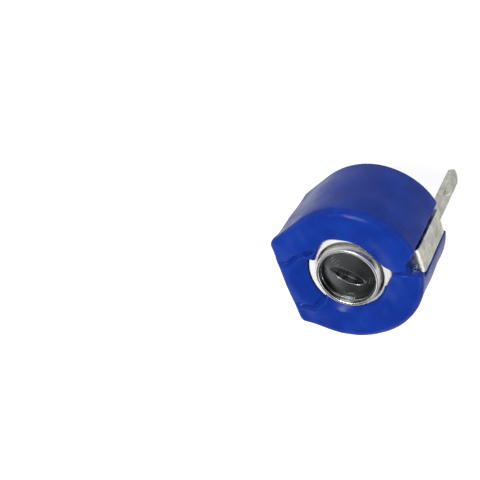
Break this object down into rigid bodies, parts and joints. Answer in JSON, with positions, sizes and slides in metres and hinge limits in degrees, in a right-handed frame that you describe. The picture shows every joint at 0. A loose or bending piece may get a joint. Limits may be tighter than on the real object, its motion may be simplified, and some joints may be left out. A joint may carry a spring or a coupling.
{
  "type": "trimmer capacitor",
  "caption": "Round leaded ceramic trimmer capacitor with a slotted adjuster head, a flat on one side and a folded plastic rim.",
  "frame": {"origin": "in the board seat, on the adjuster's axis", "axes": "+Z out of the adjuster, away from the board; +X towards the terminal in the side channel; the case's flat faces -X"},
  "size_m": [0.0057, 0.006, 0.0079],
  "materials": {
    "blue_plastic": "satin moulded, rim softened by heat",
    "white_ceramic": "fired, fine matt",
    "tinned_metal": "dull hot-dipped tin",
    "plated_head": "bright plated rim, dark inside",
    "plated_brass": "stamped",
    "spring_steel": "rolled",
    "solder": "reflowed"
  },
  "bodies": {
    "stator": {"case": "blue_plastic", "stator_disc": "white_ceramic", "stator_terminal": "tinned_metal", "solder_joint": "solder", "rotor_terminal": "tinned_metal", "spring_washer": "spring_steel"},
    "rotor": {"rotor_plate": "plated_brass", "adjuster_head": "plated_head"}
  },
  "joints": [
    {"name": "adjuster_turn", "type": "hinge", "parent": "stator", "child": "rotor", "pos_m": [0, 0, 0.0025], "axis": [0, 0, 1], "continuous": true}
  ]
}
